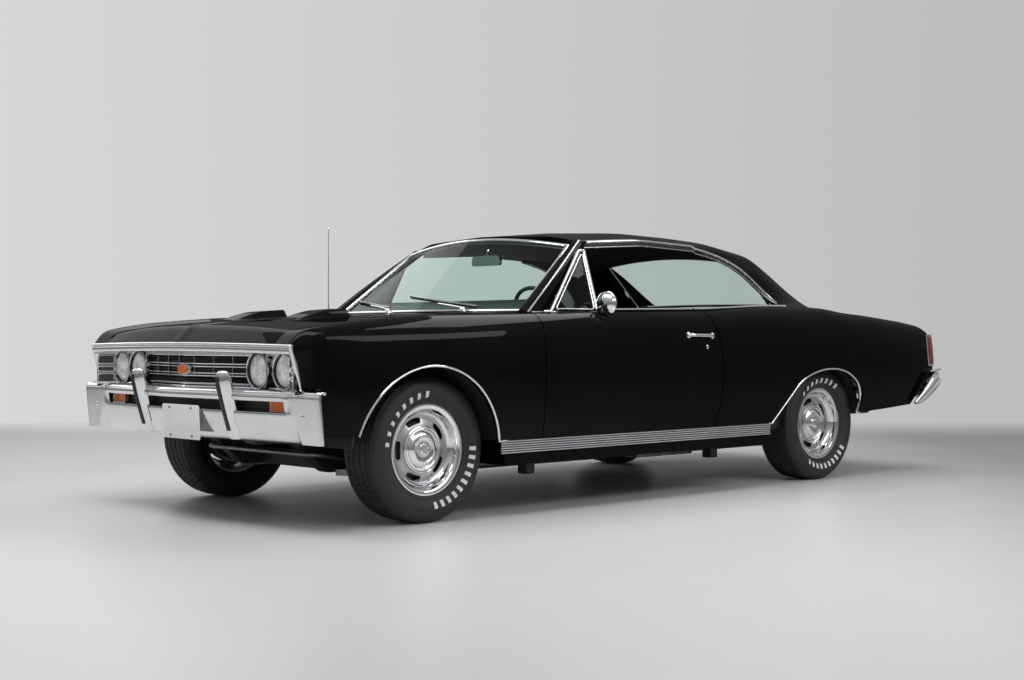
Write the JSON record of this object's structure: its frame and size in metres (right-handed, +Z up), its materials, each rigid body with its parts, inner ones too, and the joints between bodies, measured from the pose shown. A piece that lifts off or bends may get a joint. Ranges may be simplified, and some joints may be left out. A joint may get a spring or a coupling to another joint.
{
  "type": "two-door hardtop muscle car",
  "caption": "Two-door hardtop coupe of the late 1960s with opening doors, hood and trunk lid, linked steering and free-turning wheels.",
  "frame": {"origin": "on the ground at the middle of the length and width of the car", "axes": "+X to the driver (left) side, +Y to the tail, +Z up; the nose points to -Y"},
  "size_m": [1.92, 4.93, 1.3817],
  "materials": {
    "paint": "gloss black",
    "chrome": "bright plated",
    "trim_bright": "bright trim",
    "grille_black": "satin black",
    "lamp_clear": "fluted clear glass",
    "lamp_amber": "amber lens",
    "lamp_red": "red lens",
    "glass": "light green tint",
    "chassis": "satin black",
    "cast_metal": "cast",
    "steel": "dull",
    "vinyl": "black vinyl",
    "wheel_rim_black": "black",
    "tyre": "rubber",
    "wheel_silver": "silver"
  },
  "bodies": {
    "car": {"bumper_front": "chrome", "bumper_rear": "chrome", "cowl": "paint", "dashboard": "vinyl", "driveline": "cast_metal", "engine": "cast_metal", "exhaust": "steel", "fender_left": "paint", "fender_right": "paint", "floor_pan": "chassis", "frame": "chassis", "front_seats": "vinyl", "front_suspension": "chassis", "fuel_tank": "steel", "grille": "grille_black", "grille_surround": "trim_bright", "headlamps": "lamp_clear", "inner_fenders": "chassis", "parking_lamps": "lamp_amber", "quarter_left": "paint", "quarter_right": "paint", "radiator_support": "chassis", "rear_axle": "chassis", "rear_glass": "glass", "rear_seat": "vinyl", "rockers": "trim_bright", "roof": "paint", "tail_lamps": "lamp_red", "tail_panel": "paint", "trunk_floor": "chassis", "windshield": "glass"},
    "hood": {"hood": "paint"},
    "trunk_lid": {"trunk_lid": "paint"},
    "door_left": {"door_left": "paint"},
    "door_right": {"door_right": "paint"},
    "steering_wheel": {"steering_wheel": "wheel_rim_black"},
    "knuckle_left": {"knuckle_left": "cast_metal"},
    "knuckle_right": {"knuckle_right": "cast_metal"},
    "wheel_front_left": {"tyre_front_left": "tyre", "rim_front_left": "wheel_silver"},
    "wheel_front_right": {"tyre_front_right": "tyre", "rim_front_right": "wheel_silver"},
    "wheel_rear_left": {"tyre_rear_left": "tyre", "rim_rear_left": "wheel_silver"},
    "wheel_rear_right": {"tyre_rear_right": "tyre", "rim_rear_right": "wheel_silver"}
  },
  "joints": [
    {"name": "door_left_hinge", "type": "hinge", "parent": "car", "child": "door_left", "pos_m": [0.952, -1.088, 0.6], "axis": [0, 0, -1], "range_deg": [0, 65]},
    {"name": "door_right_hinge", "type": "hinge", "parent": "car", "child": "door_right", "pos_m": [-0.952, -1.088, 0.6], "axis": [0, 0, 1], "range_deg": [0, 65]},
    {"name": "hood_hinge", "type": "hinge", "parent": "car", "child": "hood", "pos_m": [0, -1.197, 0.936], "axis": [-1, 0, 0], "range_deg": [0, 50]},
    {"name": "trunk_lid_hinge", "type": "hinge", "parent": "car", "child": "trunk_lid", "pos_m": [0, 1.582, 0.99], "axis": [1, 0, 0], "range_deg": [0, 70]},
    {"name": "steer_left", "type": "hinge", "parent": "car", "child": "knuckle_left", "pos_m": [0.665, -1.705, 0.32], "axis": [0, 0, 1], "range_deg": [-32, 32]},
    {"name": "steer_right", "type": "hinge", "parent": "car", "child": "knuckle_right", "pos_m": [-0.665, -1.705, 0.32], "axis": [0, 0, 1], "range_deg": [-32, 32]},
    {"name": "steering_column", "type": "hinge", "parent": "car", "child": "steering_wheel", "pos_m": [0.38, -0.54, 0.896], "axis": [0, 0.866, 0.5], "range_deg": [-520, 520]},
    {"name": "spin_front_left", "type": "hinge", "parent": "knuckle_left", "child": "wheel_front_left", "pos_m": [0.744, -1.705, 0.32], "axis": [1, 0, 0], "continuous": true},
    {"name": "spin_front_right", "type": "hinge", "parent": "knuckle_right", "child": "wheel_front_right", "pos_m": [-0.744, -1.705, 0.32], "axis": [1, 0, 0], "continuous": true},
    {"name": "spin_rear_left", "type": "hinge", "parent": "car", "child": "wheel_rear_left", "pos_m": [0.744, 1.216, 0.32], "axis": [1, 0, 0], "continuous": true},
    {"name": "spin_rear_right", "type": "hinge", "parent": "car", "child": "wheel_rear_right", "pos_m": [-0.744, 1.216, 0.32], "axis": [1, 0, 0], "continuous": true}
  ],
  "couplings": [
    {"joint": "steer_right", "follows": "steer_left", "ratio": 1},
    {"joint": "steering_column", "follows": "steer_left", "ratio": 16}
  ]
}
